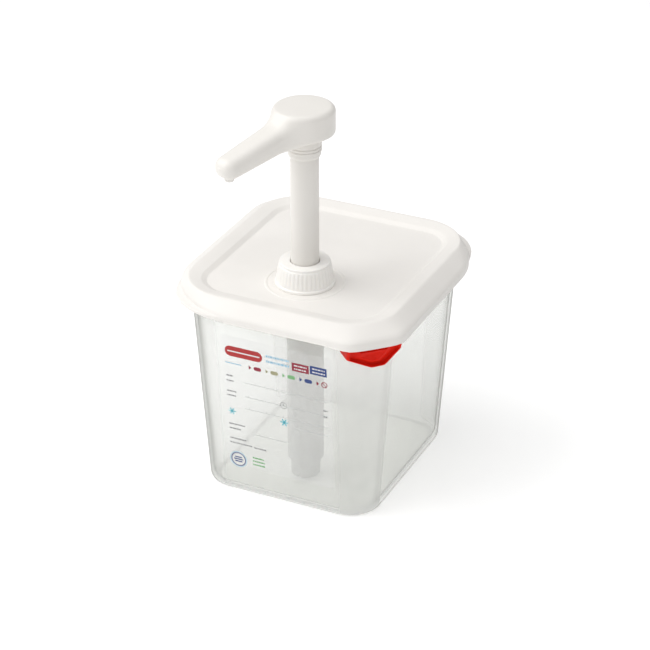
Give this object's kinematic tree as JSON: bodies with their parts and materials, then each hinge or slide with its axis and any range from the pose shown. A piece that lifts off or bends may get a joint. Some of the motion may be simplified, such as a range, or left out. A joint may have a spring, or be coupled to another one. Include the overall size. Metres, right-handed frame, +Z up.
{
  "type": "condiment pump dispenser",
  "caption": "Translucent food container with a press-on lid and a hand-pressed portion pump whose spout arm swivels over the lid.",
  "frame": {"origin": "centre of the container's flat base, on the surface that it stands on", "axes": "+Z up along the pump, -Y towards the short wall with the label film, +X to the right when facing that wall"},
  "size_m": [0.164, 0.1847, 0.2605],
  "materials": {
    "milky_polypropylene": "translucent satin",
    "label_film": "printed film",
    "red_clip": "gloss",
    "white_lid": "satin",
    "white_pump": "satin gloss",
    "pump_tube": "satin",
    "soft_seal": "matt",
    "steel": "polished"
  },
  "bodies": {
    "tub": {"container": "milky_polypropylene", "label_film": "label_film"},
    "clip": {"corner_clip": "red_clip"},
    "lid_set": {"lid": "white_lid", "collar_washer": "soft_seal", "pump_cylinder": "pump_tube", "stem_guide": "white_pump", "guide_wiper": "soft_seal", "spring_seat": "pump_tube", "foot_valve": "pump_tube", "foot_seal": "soft_seal", "foot_strainer": "pump_tube", "return_spring": "steel"},
    "collar": {"lock_collar": "white_pump"},
    "plunger": {"stem": "white_pump", "piston": "pump_tube", "piston_seal": "soft_seal", "ball_cage": "pump_tube", "neck_nut": "white_pump"},
    "outlet_ball": {"upper_ball": "steel"},
    "inlet_ball": {"lower_ball": "steel"},
    "head": {"spout_head": "white_pump", "head_o_ring": "soft_seal", "channel_plug": "white_pump", "nozzle_tip": "white_pump"}
  },
  "joints": [
    {"name": "lid_lift", "type": "slide", "parent": "tub", "child": "lid_set", "axis": [0, 0, 1], "range_m": [0, 0.16]},
    {"name": "clip_pull", "type": "slide", "parent": "tub", "child": "clip", "axis": [0, 0, -1], "range_m": [0, 0.03]},
    {"name": "collar_turn", "type": "hinge", "parent": "lid_set", "child": "collar", "pos_m": [0, -0.031, 0.15], "axis": [0, 0, 1], "continuous": true},
    {"name": "plunge", "type": "slide", "parent": "lid_set", "child": "plunger", "axis": [0, 0, -1], "range_m": [0, 0.055], "stiffness_N_per_m": 150, "springref_m": -0.05, "deforming": ["return_spring"]},
    {"name": "head_swivel", "type": "hinge", "parent": "plunger", "child": "head", "pos_m": [0, -0.031, 0.244], "axis": [0, 0, 1], "continuous": true},
    {"name": "outlet_ball_lift", "type": "slide", "parent": "plunger", "child": "outlet_ball", "axis": [0, 0, 1], "range_m": [0, 0.003]},
    {"name": "inlet_ball_lift", "type": "slide", "parent": "lid_set", "child": "inlet_ball", "axis": [0, 0, 1], "range_m": [0, 0.003]}
  ]
}
